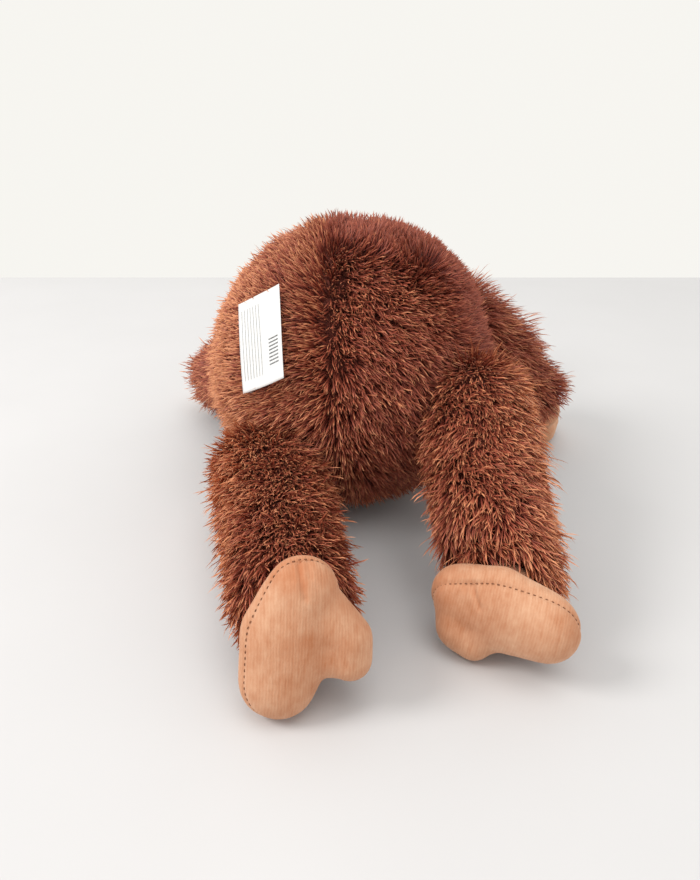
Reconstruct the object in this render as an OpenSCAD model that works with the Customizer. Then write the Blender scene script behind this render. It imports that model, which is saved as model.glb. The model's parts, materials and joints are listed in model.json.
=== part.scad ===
// Stuffed monkey lying on its belly: long-pile sleeves and back, velour hands, feet, face and belly.
// Millimetres, +Z up, head towards -Y, rump towards +Y. The origin is on the ground under the middle.

/* [Fabric] */
// thickness of the plush fabric, backing and packed pile together
skin_t = 5; // [3:0.5:6]
// play between the fabric and the filling inside it
fill_gap = 0.25; // [0.15:0.05:0.5]
// clearance between two pieces that move against each other
move_gap = 0.5; // [0.4:0.1:1]
// thickness of the closing thread
thread_d = 1.6; // [1:0.2:1.8]

/* [Torso] */
// width of the round rump
body_w = 158; // [152:1:160]
// height of the rump's middle above the ground
body_z = 79.3; // [79.3:0.1:84]
// sideways roll of the torso, right side up
body_roll = 8; // [0:1:12]
// turn of the torso about the vertical
body_yaw = -4; // [-6:1:6]
// radius of the stuffed neck
neck_r = 28; // [24:1:30]

/* [Head] */
// diameter of the head
head_d = 120; // [114:1:122]
// how far the face looks down from level
head_pitch = 12; // [6:1:16]
// radius of the muzzle
muzzle_r = 27; // [24:1:28]
// radius of an ear
ear_r = 18; // [14:1:19]
// radius of an eye's dome
eye_r = 7.5; // [6:0.5:8]

/* [Legs] */
// radius of a leg at the hip
leg_r = 25; // [22:0.5:26]
// radius of a leg at the cuff
cuff_r = 20; // [19.5:0.5:22]

/* [Arms] */
// radius of an arm at the shoulder
arm_r = 22; // [20:0.5:23]
// radius of an arm at the cuff
wrist_r = 20; // [19:0.5:21]

/* [Feet and hands] */
// half the thickness of a foot
foot_half = 13; // [11:0.5:14]
// upward lean of the left sole and the right sole
foot_lean = [16, 3]; // [0:1:18]
// turn of the left foot and the right foot about the sole's own middle
foot_turn = [0, 78]; // [0:1:80]
// turn of the left foot and the right foot about the vertical
foot_yaw = [0, -38]; // [-42:1:8]
// how far the bed presses in the big toe of the left foot and the right foot
toe_press = [0, 5]; // [0:1:8]
// half the thickness of a hand
hand_half = 11; // [10:0.5:12]
// outward turn of the left hand and the right hand on the ground
hand_turn = [4, 8]; // [-10:1:20]

/* [Care label] */
// width of the satin label
label_w = 34; // [30:1:36]
// height of the satin label
label_h = 50; // [44:1:52]
// thickness of the satin label
label_t = 0.5; // [0.4:0.1:0.8]

/* [Hidden] */
fur_brown = "#7a3a22";
fur_dark = "#6a2f1c";
velour = "#dfa873";
white = "#f4f4f2";
thread_col = "#5a2a18";
plastic = "#1c1512";
stuffing = "#efece4";
fn_soft = 22;
fn_hid = 14;
fn_round = 64;
fn_head = 120;
off = [17.1, 22.38, 0];
hip = [[44, 59, 39], [-67, 51, 73]];
ankle = [[22.5, 171, 33.6], [-69, 147, 25.22]];
shoulder = [[70, -66, 52], [-72, -64, 86]];
wrist = [[102, -134, 27], [-134, -58, 29]];
left = 0;
right = 1;
way = [1, -1];
inner = skin_t;
core = skin_t + fill_gap;
seam_room = thread_d + 2 * 0.4;
body_r = body_w / 2;
torso_beads = [
    [[0, 0, 0], [body_r, body_r, body_r]],
    [[0, -22, -2], [body_r - 4, body_r - 12, body_r - 3]],
    [[0, -40, -7], [body_r - 10, body_r - 23, body_r - 9]],
    [[0, -56, -13], [body_r - 19, body_r - 35, body_r - 16]],
    [[0, -67, -17], [body_r - 33, body_r - 48, body_r - 32]]
];
torso_at = [0, -13, body_z];
neck = torso_point([0, -99, -10]);
head_dir = [0, -cos(5), -sin(5)];
head_at = neck + head_dir * (head_d / 2);
ankle_ball = 14.4;
wrist_ball = 14.2;
cuff_back = [-2, -14];
cuff_stop = [-4, -6];
arm_cuff_back = 6;
leg_dirs = [for (s = [left, right]) unit(ankle[s] - hip[s])];
arm_dirs = [for (s = [left, right]) unit(wrist[s] - shoulder[s])];
leg_len = [for (s = [left, right]) norm(ankle[s] - hip[s])];
arm_len = [for (s = [left, right]) norm(wrist[s] - shoulder[s])];
foot_mid = 12;
seam_tilt = [[0, 0, 13], [-14, 0, 13]];
toe_shift = [[0, 0, 0], [0, 5, 14]];
foot_beads = [
    [[-4, foot_mid, 14], [15, foot_half - 0.5, 15]],
    [[1, foot_mid, -3], [20, foot_half, 19]],
    [[6, foot_mid, -22], [16, foot_half - 0.5, 16]]
];
toe_beads = [for (s = [left, right]) [
    [[toe_press[s] - 21.5, foot_mid, -5] + toe_shift[s], [10, foot_half - 3, 11]],
    [[toe_press[s] - 22.5, foot_mid, -13] + toe_shift[s], [9, foot_half - 4, 9]]
]];
hand_drop = 1.2;
hand_beads = [
    [[0, -9, 0], [14.5, 14.5, hand_half]],
    [[0, -26, 0], [19, 17, hand_half]],
    [[2, -44, 0], [15, 14, hand_half - 0.5]]
];
thumb_beads = [
    [[-17, -25, 0], [9, 9, hand_half - 1.5]],
    [[-21, -33, 0], [8, 9, hand_half - 1.5]]
];
eye_turn = 19;
eye_lift = 16;
shank_r = 2.2;
washer_r = 9;
muzzle_at = [0, -(head_d / 2 - 10), -17];
nose_r = 6.5;
nose_lift = 38;
ear_half = 5;
ear_x = head_d / 2 + 2.5;
ear_z = 9;
label_mid = [45.5, 47.5, 112];
label_down = unit([-0.08, 0.58, -0.81]);
label_out = unit(cross(label_down, [-0.76, 0.5, 0.42]));
label_across = cross(label_out, label_down);

function unit(v) = v / norm(v);
function turn_y(p, a) = [p[0] * cos(a) + p[2] * sin(a), p[1], p[2] * cos(a) - p[0] * sin(a)];
function turn_z(p, a) = [p[0] * cos(a) - p[1] * sin(a), p[0] * sin(a) + p[1] * cos(a), p[2]];
function torso_point(p) = torso_at + turn_z(turn_y(p, body_roll), body_yaw);
function leg_dir(s, splay, drop) =
    [way[s] * sin(splay), cos(splay) * cos(drop), -cos(splay) * sin(drop)];
function arm_dir(s, splay, fore) =
    [way[s] * sin(splay), -cos(splay) * sin(fore), -cos(splay) * cos(fore)];

// Turns local +Z to a unit vector.
module along(d) {
    rotate([0, acos(d[2]), atan2(d[1], d[0])])
        children();
}

// An egg shape, pulled in all round by g.
module bead(b, g = 0) {
    translate(b[0])
        scale([b[1][0] - g, b[1][1] - g, b[1][2] - g])
            sphere(1, $fn = g > 0 ? fn_hid : fn_soft);
}

// A run of beads, each drawn to the next.
module bead_run(list, g = 0) {
    for (i = [0 : len(list) - 2])
        hull() {
            bead(list[i], g);
            bead(list[i + 1], g);
        }
}

module rod(at, d, r, len) {
    translate(at)
        along(d)
            cylinder(r = r, h = len, $fn = 20);
}

// The room a limb needs to swing and splay, g larger all round.
module leg_room(s, g) {
    translate(hip[s])
        sphere(leg_r + seam_room + g, $fn = 28);
    hull()
        for (drop = [-16, 52], splay = [-14, 40])
            rod(hip[s], leg_dir(s, splay, drop), leg_r + move_gap + g, 60);
}

module arm_room(s, g) {
    fores = [-26, 12, 50, 86];
    translate(shoulder[s])
        sphere(arm_r + seam_room + g, $fn = 28);
    for (i = [0 : len(fores) - 2])
        hull()
            for (fore = [fores[i], fores[i + 1]], splay = [14, 40])
                rod(shoulder[s], arm_dir(s, splay, fore), arm_r + move_gap + g, 60);
}

module in_torso() {
    translate(torso_at)
        rotate([0, 0, body_yaw])
            rotate([0, body_roll, 0])
                children();
}

// The torso with its neck, pulled in by g, and with walls round the limb roots.
module torso_solid(g) {
    difference() {
        union() {
            in_torso()
                bead_run(torso_beads, g);
            translate(neck)
                sphere(neck_r - g, $fn = 28);
        }
        for (s = [left, right]) {
            leg_room(s, g);
            arm_room(s, g);
        }
    }
}

module torso_shell() {
    difference() {
        torso_solid(0);
        torso_solid(inner);
    }
}

// The belly panel's outline, seen from above, down through the underside.
module belly_cut() {
    in_torso()
        translate([0, 0, -120])
            linear_extrude(height = 100)
                hull() {
                    translate([0, -8])
                        circle(r = 42, $fn = 40);
                    translate([0, -64])
                        circle(r = 30, $fn = 40);
                }
}

module half_space(s) {
    in_torso()
        translate([s == left ? 0 : -200, -300, -200])
            cube([200, 600, 500]);
}

module back_panel(s) {
    color(fur_brown)
        translate(off)
            difference() {
                intersection() {
                    torso_shell();
                    half_space(s);
                }
                belly_cut();
            }
}

module back_panel_left() {
    back_panel(left);
}

module back_panel_right() {
    back_panel(right);
}

module belly_panel() {
    color(velour)
        translate(off)
            intersection() {
                torso_shell();
                belly_cut();
            }
}

module torso_filling() {
    color(stuffing)
        translate(off)
            torso_solid(core);
}

// Label frame: local X runs from the sewn edge to the free edge, local Y away from the fur.
module in_label() {
    translate(off + label_mid - label_across * (label_w / 2))
        multmatrix([for (i = [0 : 2]) [label_across[i], label_out[i], -label_down[i], 0]])
            children();
}

module label_tab() {
    color(white)
        in_label()
            rotate([0, 0, 20])
                translate([-1, -12, -label_h / 2 + 1])
                    cube([label_t, 11, label_h - 2]);
}

module care_label() {
    color(white)
        in_label()
            translate([0, 0, -label_h / 2])
                cube([label_w, label_t, label_h]);
}

// A ring of closing thread round a stuffed ball of radius r, at an angle from its axis.
module thread_ring(at, d, r, angle) {
    ring = r + seam_room / 2;
    color(thread_col)
        translate(off + at)
            along(d)
                translate([0, 0, ring * cos(angle)])
                    rotate_extrude($fn = fn_round)
                        translate([ring * sin(angle), 0])
                            circle(d = thread_d, $fn = 16);
}

// The ring of a limb's root faces the torso's inside and away from the limb.
module limb_ring(at, inside, limb_dir, r) {
    thread_ring(at, unit(unit(inside - at) - 0.6 * limb_dir), r, 36);
}

module neck_seam() {
    thread_ring(neck, head_dir, neck_r, 48);
}

// Head. Local -Y is the way the face looks.
module in_head() {
    translate(off + head_at)
        rotate([head_pitch, 0, 0])
            children();
}

module head_ball(r) {
    translate(off + head_at)
        along(head_dir)
            sphere(r, $fn = fn_head);
}

module head_solid(g) {
    difference() {
        head_ball(head_d / 2 - g);
        translate(off + neck)
            along(head_dir)
                sphere(neck_r + seam_room + g, $fn = fn_head);
    }
}

module face_cut() {
    in_head()
        rotate([90, 0, 0])
            linear_extrude(height = head_d) {
                for (x = [-17, 17])
                    translate([x, 11])
                        circle(r = 22, $fn = fn_head);
                translate([0, -15])
                    circle(r = 33, $fn = fn_head);
            }
}

module at_eye(s) {
    in_head()
        rotate([-eye_lift, 0, way[s] * eye_turn])
            children();
}

module at_nose() {
    in_head()
        translate(muzzle_at)
            rotate([-nose_lift, 0, 0])
                children();
}

module shank(from, len, r) {
    translate([0, -from, 0])
        rotate([-90, 0, 0])
            cylinder(r = r, h = len, $fn = 32);
}

// Half outline of the head about the line through the neck, pulled in by g.
module head_outline(g) {
    difference() {
        intersection() {
            circle(r = head_d / 2 - g, $fn = fn_head);
            translate([0, -head_d])
                square([head_d, 2 * head_d]);
        }
        translate([0, -head_d / 2])
            circle(r = neck_r + seam_room + g, $fn = fn_head);
    }
}

module head_panel(s) {
    color(fur_brown)
        difference() {
            translate(off + head_at)
                along(head_dir)
                    rotate([0, 0, s == left ? 0 : 180])
                        rotate_extrude(angle = 180, $fn = fn_head)
                            difference() {
                                head_outline(0);
                                head_outline(inner);
                            }
            face_cut();
        }
}

module head_panel_left() {
    head_panel(left);
}

module head_panel_right() {
    head_panel(right);
}

module face_panel() {
    color(velour)
        difference() {
            intersection() {
                translate(off + head_at)
                    along(head_dir)
                        rotate_extrude($fn = fn_head)
                            difference() {
                                head_outline(0);
                                head_outline(inner);
                            }
                face_cut();
            }
            for (s = [left, right])
                at_eye(s)
                    shank(head_d / 2 + 5, 20, shank_r + 0.1);
        }
}

module head_filling() {
    color(stuffing)
        difference() {
            head_solid(core);
            for (s = [left, right])
                at_eye(s) {
                    shank(head_d / 2, 14.5, shank_r + 0.2);
                    shank(head_d / 2 - inner + 1, 4, washer_r + 0.3);
                }
        }
}

module muzzle_solid(g) {
    difference() {
        in_head()
            translate(muzzle_at)
                sphere(muzzle_r - g, $fn = fn_head);
        head_ball(head_d / 2 + 0.05 + fill_gap);
    }
}

module muzzle_panel() {
    color(velour)
        difference() {
            in_head()
                translate(muzzle_at)
                    sphere(muzzle_r, $fn = fn_head);
            in_head()
                translate(muzzle_at)
                    sphere(muzzle_r - 3, $fn = fn_head);
            head_ball(head_d / 2 + 0.05);
            at_nose()
                shank(muzzle_r + 5, 12, shank_r + 0.1);
        }
}

module muzzle_filling() {
    color(stuffing)
        difference() {
            muzzle_solid(3 + fill_gap);
            at_nose() {
                shank(muzzle_r, 13, shank_r + 0.2);
                shank(muzzle_r - 2, 4, washer_r - 2 + 0.3);
            }
        }
}

// A domed button on a shank that passes through the fabric. Local -Y is outwards.
module button(r, seat, len) {
    translate([0, -seat - 0.1, 0])
        rotate([90, 0, 0])
            intersection() {
                translate([0, 0, -r * 0.35])
                    sphere(r * 1.06, $fn = fn_round);
                cylinder(r = r * 2, h = r * 2, $fn = fn_round);
            }
    shank(seat + 0.2, len, shank_r);
}

module eye(s) {
    color(plastic)
        at_eye(s)
            button(eye_r, head_d / 2, 11);
}

module eye_left() {
    eye(left);
}

module eye_right() {
    eye(right);
}

module washer(seat, r) {
    translate([0, -seat, 0])
        rotate([-90, 0, 0])
            difference() {
                cylinder(r = r, h = 1.5, $fn = 48);
                translate([0, 0, -1])
                    cylinder(r = shank_r + 0.1, h = 4, $fn = 32);
            }
}

module eye_washer(s) {
    color(white)
        at_eye(s)
            washer(head_d / 2 - inner - 0.9, washer_r - 1);
}

module eye_washer_left() {
    eye_washer(left);
}

module eye_washer_right() {
    eye_washer(right);
}

module nose() {
    color(plastic)
        at_nose()
            button(nose_r, muzzle_r, 9);
}

module nose_washer() {
    color(white)
        at_nose()
            washer(muzzle_r - 4.2, washer_r - 2);
}

module mouth_stitch() {
    ring = muzzle_r + 0.7;
    color(thread_col)
        in_head()
            translate(muzzle_at)
                rotate([90, 0, 0])
                    translate([0, 0, ring * cos(34)])
                        rotate([0, 0, -150])
                            rotate_extrude(angle = 120, $fn = fn_round)
                                translate([ring * sin(34), 0])
                                    circle(r = 0.6, $fn = 16);
}

// An ear is a lens of two cloths. The front cloth faces local -Y.
module ear_half_lens(s, front) {
    big = (ear_r * ear_r + ear_half * ear_half) / (2 * ear_half);
    in_head()
        intersection() {
            translate([way[s] * (ear_x + 9), front * (big - ear_half), ear_z])
                sphere(big, $fn = 200);
            translate([way[s] * (ear_x + 9), -front * 20, ear_z])
                rotate([90, 0, 0])
                    cylinder(r = ear_r, h = 40, center = true, $fn = fn_round);
            translate([s == left ? ear_x : -ear_x - 60, -60, -60])
                cube([60, 120, 160]);
            translate([-100, front > 0 ? -60 : 0, -60])
                cube([200, 60, 160]);
        }
}

module ear_back_left() {
    color(fur_brown)
        ear_half_lens(left, -1);
}

module ear_front_left() {
    color(velour)
        ear_half_lens(left, 1);
}

module ear_back_right() {
    color(fur_brown)
        ear_half_lens(right, -1);
}

module ear_front_right() {
    color(velour)
        ear_half_lens(right, 1);
}

// Half outline of a limb: a ball at the root, then a slow taper to the cuff.
module limb_outline(r0, r1, len, g) {
    intersection() {
        union() {
            circle(r = r0 - g, $fn = 96);
            polygon([[0, 0], [r0 - g, 0], [r1 - g, len], [0, len]]);
        }
        translate([0, -r0])
            square([r0 + 1, r0 + len + 1]);
    }
}

module limb_sleeve(at, d, r0, r1, len, back) {
    translate(off + at)
        along(d)
            rotate_extrude($fn = 96)
                difference() {
                    limb_outline(r0, r1, len - back, 0);
                    limb_outline(r0, r1, len - back + 6, inner);
                }
}

module limb_filling(at, d, r0, r1, len, ball) {
    color(stuffing)
        translate(off + at)
            along(d)
                rotate_extrude($fn = 96)
                    limb_outline(r0, r1, len - ball - move_gap, core);
}

// A leg's sleeve ends in a cuff that is cut along the top of its foot.
module leg_sleeve(s) {
    color(fur_dark)
        difference() {
            limb_sleeve(hip[s], leg_dirs[s], leg_r, cuff_r, leg_len[s], cuff_back[s]);
            in_foot(s)
                translate([-80, cuff_stop[s], -80])
                    cube([160, 60, 160]);
        }
}

module leg_filling(s) {
    limb_filling(hip[s], leg_dirs[s], leg_r, cuff_r, leg_len[s], ankle_ball);
}

module arm_sleeve(s) {
    color(fur_dark)
        limb_sleeve(shoulder[s], arm_dirs[s], arm_r, wrist_r, arm_len[s], arm_cuff_back);
}

module arm_filling(s) {
    limb_filling(shoulder[s], arm_dirs[s], arm_r, wrist_r, arm_len[s], wrist_ball);
}

module hip_seam_left() {
    limb_ring(hip[left], torso_at, leg_dirs[left], leg_r);
}

module hip_seam_right() {
    limb_ring(hip[right], torso_at, leg_dirs[right], leg_r);
}

module shoulder_seam_left() {
    limb_ring(shoulder[left], torso_at + [0, -52, -8], arm_dirs[left], arm_r);
}

module shoulder_seam_right() {
    limb_ring(shoulder[right], torso_at + [0, -52, -8], arm_dirs[right], arm_r);
}

module leg_sleeve_left() {
    leg_sleeve(left);
}

module leg_sleeve_right() {
    leg_sleeve(right);
}

module leg_filling_left() {
    leg_filling(left);
}

module leg_filling_right() {
    leg_filling(right);
}

module arm_sleeve_left() {
    arm_sleeve(left);
}

module arm_sleeve_right() {
    arm_sleeve(right);
}

module arm_filling_left() {
    arm_filling(left);
}

module arm_filling_right() {
    arm_filling(right);
}

// Foot of a leg: the sole looks along local +Y, the toes point along -Z, the big toe along -X.
module in_foot(s) {
    translate(off + ankle[s])
        rotate([foot_lean[s], 0, foot_yaw[s]])
            rotate([0, foot_turn[s], 0])
                mirror([s, 0, 0])
                    children();
}

module foot_solid(s, g) {
    bead_run(foot_beads, g);
    bead_run(toe_beads[s], g);
    for (i = [0, 1])
        hull() {
            bead(foot_beads[i], g + 2);
            bead(toe_beads[s][i], g + i);
        }
    sphere(ankle_ball - g, $fn = g > 0 ? fn_hid : fn_soft);
}

module foot_shell(s, low) {
    in_foot(s)
        intersection() {
            difference() {
                foot_solid(s, 0);
                foot_solid(s, 3);
            }
            rotate(seam_tilt[s])
                translate([-80, low, -80])
                    cube([160, 60, 160]);
        }
}

module foot_sole(s) {
    color(velour)
        foot_shell(s, foot_mid + 2);
}

module foot_upper(s) {
    color(velour)
        foot_shell(s, foot_mid + 2 - 60);
}

module foot_filling(s) {
    color(stuffing)
        in_foot(s)
            foot_solid(s, 3 + fill_gap);
}

module foot_sole_left() {
    foot_sole(left);
}

module foot_sole_right() {
    foot_sole(right);
}

module foot_upper_left() {
    foot_upper(left);
}

module foot_upper_right() {
    foot_upper(right);
}

module foot_filling_left() {
    foot_filling(left);
}

module foot_filling_right() {
    foot_filling(right);
}

// Hand of an arm: the palm lies on the ground, the fingers point along local -Y.
module in_hand(s) {
    translate([off[0] + wrist[s][0], off[1] + wrist[s][1], 0])
        rotate([0, 0, way[s] * hand_turn[s]])
            mirror([s, 0, 0])
                children();
}

module hand_solid(s, g) {
    translate([0, 0, hand_half - hand_drop]) {
        bead_run(hand_beads, g);
        bead_run(thumb_beads, g);
        hull() {
            bead(hand_beads[1], g + 2);
            bead(thumb_beads[0], g);
        }
    }
    translate([0, 0, wrist[s][2]])
        sphere(wrist_ball - g, $fn = g > 0 ? fn_hid : fn_soft);
    hull() {
        translate([0, 0, wrist[s][2]])
            sphere(wrist_ball - 3 - g, $fn = fn_hid);
        translate([0, -6, hand_half])
            sphere(hand_half - 2 - g, $fn = fn_hid);
    }
}

module hand_shell(s, low, high) {
    in_hand(s)
        intersection() {
            difference() {
                hand_solid(s, 0);
                intersection() {
                    hand_solid(s, 3);
                    translate([-80, -80, 2])
                        cube([160, 160, 100]);
                }
            }
            translate([-80, -80, low])
                cube([160, 160, high - low]);
        }
}

module hand_palm(s) {
    color(velour)
        hand_shell(s, 0, hand_half - 2);
}

module hand_back(s) {
    color(velour)
        hand_shell(s, hand_half - 2, 80);
}

module hand_filling(s) {
    color(stuffing)
        in_hand(s)
            intersection() {
                hand_solid(s, 3 + fill_gap);
                translate([-80, -80, 2 + fill_gap])
                    cube([160, 160, 100]);
            }
}

module hand_palm_left() {
    hand_palm(left);
}

module hand_palm_right() {
    hand_palm(right);
}

module hand_back_left() {
    hand_back(left);
}

module hand_back_right() {
    hand_back(right);
}

module hand_filling_left() {
    hand_filling(left);
}

module hand_filling_right() {
    hand_filling(right);
}

back_panel_left();
back_panel_right();
belly_panel();
torso_filling();
label_tab();
care_label();
neck_seam();
head_panel_left();
head_panel_right();
face_panel();
head_filling();
muzzle_panel();
muzzle_filling();
eye_left();
eye_right();
eye_washer_left();
eye_washer_right();
nose();
nose_washer();
mouth_stitch();
ear_back_left();
ear_front_left();
ear_back_right();
ear_front_right();
shoulder_seam_left();
arm_sleeve_left();
arm_filling_left();
hand_palm_left();
hand_back_left();
hand_filling_left();
shoulder_seam_right();
arm_sleeve_right();
arm_filling_right();
hand_palm_right();
hand_back_right();
hand_filling_right();
hip_seam_left();
leg_sleeve_left();
leg_filling_left();
foot_sole_left();
foot_upper_left();
foot_filling_left();
hip_seam_right();
leg_sleeve_right();
leg_filling_right();
foot_sole_right();
foot_upper_right();
foot_filling_right();
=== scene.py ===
"""The looks of the stuffed monkey: long pile, velour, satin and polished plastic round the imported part."""

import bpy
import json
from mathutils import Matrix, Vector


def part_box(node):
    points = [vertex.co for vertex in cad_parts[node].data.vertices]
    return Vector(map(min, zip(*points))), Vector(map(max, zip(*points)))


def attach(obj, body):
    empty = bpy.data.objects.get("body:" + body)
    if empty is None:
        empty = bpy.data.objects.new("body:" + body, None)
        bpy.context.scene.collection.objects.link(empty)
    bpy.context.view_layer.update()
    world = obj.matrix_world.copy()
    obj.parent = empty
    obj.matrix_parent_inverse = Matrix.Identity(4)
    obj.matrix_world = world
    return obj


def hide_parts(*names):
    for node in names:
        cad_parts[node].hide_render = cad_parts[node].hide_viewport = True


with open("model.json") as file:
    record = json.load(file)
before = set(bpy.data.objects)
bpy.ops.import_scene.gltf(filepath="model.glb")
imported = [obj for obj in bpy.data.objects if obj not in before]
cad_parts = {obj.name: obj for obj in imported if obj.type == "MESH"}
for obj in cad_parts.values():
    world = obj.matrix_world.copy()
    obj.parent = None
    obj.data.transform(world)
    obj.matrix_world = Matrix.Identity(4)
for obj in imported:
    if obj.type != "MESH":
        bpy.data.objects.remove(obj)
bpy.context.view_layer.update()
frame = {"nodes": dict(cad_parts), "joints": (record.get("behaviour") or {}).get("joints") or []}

import json
import math

import bmesh
import bpy
import numpy as np
from mathutils import Matrix, Vector
from mathutils.bvhtree import BVHTree

MM = 0.001
NODES = frame["nodes"]
JOINTS = {j["name"]: j for j in frame["joints"]}
SIDES = ("left", "right")
WAY = {"left": 1.0, "right": -1.0}


# ---------------------------------------------------------------- numbers and small helpers

def unit(v):
    v = np.asarray(v, float)
    return v / np.maximum(np.linalg.norm(v, axis=-1, keepdims=True), 1e-12)


def turn(axis, degrees):
    return np.array(Matrix.Rotation(math.radians(degrees), 3, axis))


def pivot(joint):
    return np.array(JOINTS[joint]["pos_m"])


def middle(node):
    lo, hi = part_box(node)
    return np.array((lo + hi) / 2)


def smoothstep(x, a, b):
    t = np.clip((np.asarray(x, float) - a) / (b - a), 0, 1)
    return t * t * (3 - 2 * t)


def waves(p, size, seed, octaves=3):
    """Smooth noise from -1 to 1 at points p, with features of about size metres."""
    rng = np.random.default_rng(seed)
    total, weight = np.zeros(len(p)), 0.0
    for o in range(octaves):
        amp = 0.6 ** o
        for _ in range(5):
            k = unit(rng.normal(size=3)) * (2 * math.pi / (size / 1.7 ** o)) * rng.uniform(0.6, 1.2)
            total += amp * np.sin(p @ k + rng.uniform(0, 7))
            weight += amp * 0.5
    return total / weight


def tangent(vectors, normals):
    """The part of each vector that lies in the surface, as a unit vector."""
    flat = vectors - normals * np.sum(vectors * normals, axis=1, keepdims=True)
    return unit(flat)


# ---------------------------------------------------------------- materials

def new_material(name):
    mat = bpy.data.materials.new(name)
    mat.use_nodes = True
    nodes, links = mat.node_tree.nodes, mat.node_tree.links
    return mat, nodes, links, nodes["Principled BSDF"]


def ramp(nodes, stops):
    r = nodes.new("ShaderNodeValToRGB")
    while len(r.color_ramp.elements) < len(stops):
        r.color_ramp.elements.new(0.5)
    for e, (at, col) in zip(r.color_ramp.elements, stops):
        e.position = at
        e.color = (*col, 1)
    return r


def noise(nodes, links, coord, scale, detail=3.0, rough=0.55):
    n = nodes.new("ShaderNodeTexNoise")
    n.inputs["Scale"].default_value = scale
    n.inputs["Detail"].default_value = detail
    n.inputs["Roughness"].default_value = rough
    links.new(coord, n.inputs["Vector"])
    return n


def math_node(nodes, links, op, a, b=None, clamp=False):
    n = nodes.new("ShaderNodeMath")
    n.operation = op
    n.use_clamp = clamp
    for i, v in enumerate((a, b)):
        if v is None:
            continue
        if isinstance(v, (int, float)):
            n.inputs[i].default_value = v
        else:
            links.new(v, n.inputs[i])
    return n.outputs[0]


def mix_colour(nodes, links, blend, factor, a, b):
    n = nodes.new("ShaderNodeMix")
    n.data_type = "RGBA"
    n.blend_type = blend
    for socket, v in ((n.inputs[0], factor), (n.inputs[6], a), (n.inputs[7], b)):
        if isinstance(v, (int, float)):
            socket.default_value = v
        elif isinstance(v, tuple):
            socket.default_value = (*v, 1)
        else:
            links.new(v, socket)
    return n.outputs[2]


PILE_ROOT = (0.085, 0.017, 0.012)
PILE_MID = (0.205, 0.037, 0.024)
PILE_UPPER = (0.370, 0.088, 0.046)
PILE_TIP = (0.700, 0.290, 0.140)


def pile_material():
    """Strands take their colour from the UV alone: U is the strand's shade, its own tone plus painted light
    and shade on parts of the torso and legs; V runs from root to tip.
    """
    mat, nodes, links, bsdf = new_material("long_pile")
    uv = nodes.new("ShaderNodeUVMap")
    uv.uv_map = "OFBake"
    sep = nodes.new("ShaderNodeSeparateXYZ")
    links.new(uv.outputs[0], sep.inputs[0])
    along = math_node(nodes, links, "MULTIPLY", sep.outputs[0], 0.55)
    along = math_node(nodes, links, "ADD", along, -0.26)
    place = math_node(nodes, links, "ADD", sep.outputs[1], along, clamp=True)
    col = ramp(nodes, [(0.0, PILE_ROOT), (0.38, PILE_MID), (0.74, PILE_UPPER), (1.0, PILE_TIP)])
    links.new(place, col.inputs[0])
    links.new(col.outputs[0], bsdf.inputs["Base Color"])
    bsdf.inputs["Roughness"].default_value = 0.48
    bsdf.inputs["Specular IOR Level"].default_value = 0.35
    bsdf.inputs["Sheen Weight"].default_value = 0.12
    bsdf.inputs["Sheen Roughness"].default_value = 0.4
    bsdf.inputs["Sheen Tint"].default_value = (1.0, 0.62, 0.42, 1)
    return mat


def backing_material():
    mat, nodes, links, bsdf = new_material("pile_backing")
    tc = nodes.new("ShaderNodeTexCoord")
    n = noise(nodes, links, tc.outputs["Object"], 900)
    col = ramp(nodes, [(0.3, (0.10, 0.019, 0.013)), (0.7, (0.18, 0.036, 0.021))])
    links.new(n.outputs["Fac"], col.inputs[0])
    links.new(col.outputs[0], bsdf.inputs["Base Color"])
    bsdf.inputs["Roughness"].default_value = 0.9
    bump = nodes.new("ShaderNodeBump")
    bump.inputs["Strength"].default_value = 0.6
    bump.inputs["Distance"].default_value = 0.0006
    links.new(n.outputs["Fac"], bump.inputs["Height"])
    links.new(bump.outputs[0], bsdf.inputs["Normal"])
    return mat


VELOUR_DEEP = (0.450, 0.178, 0.084)
VELOUR_BASE = (0.550, 0.275, 0.160)
VELOUR_LIGHT = (0.650, 0.385, 0.245)
VELOUR_WARM = (0.43, 0.140, 0.055)


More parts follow.
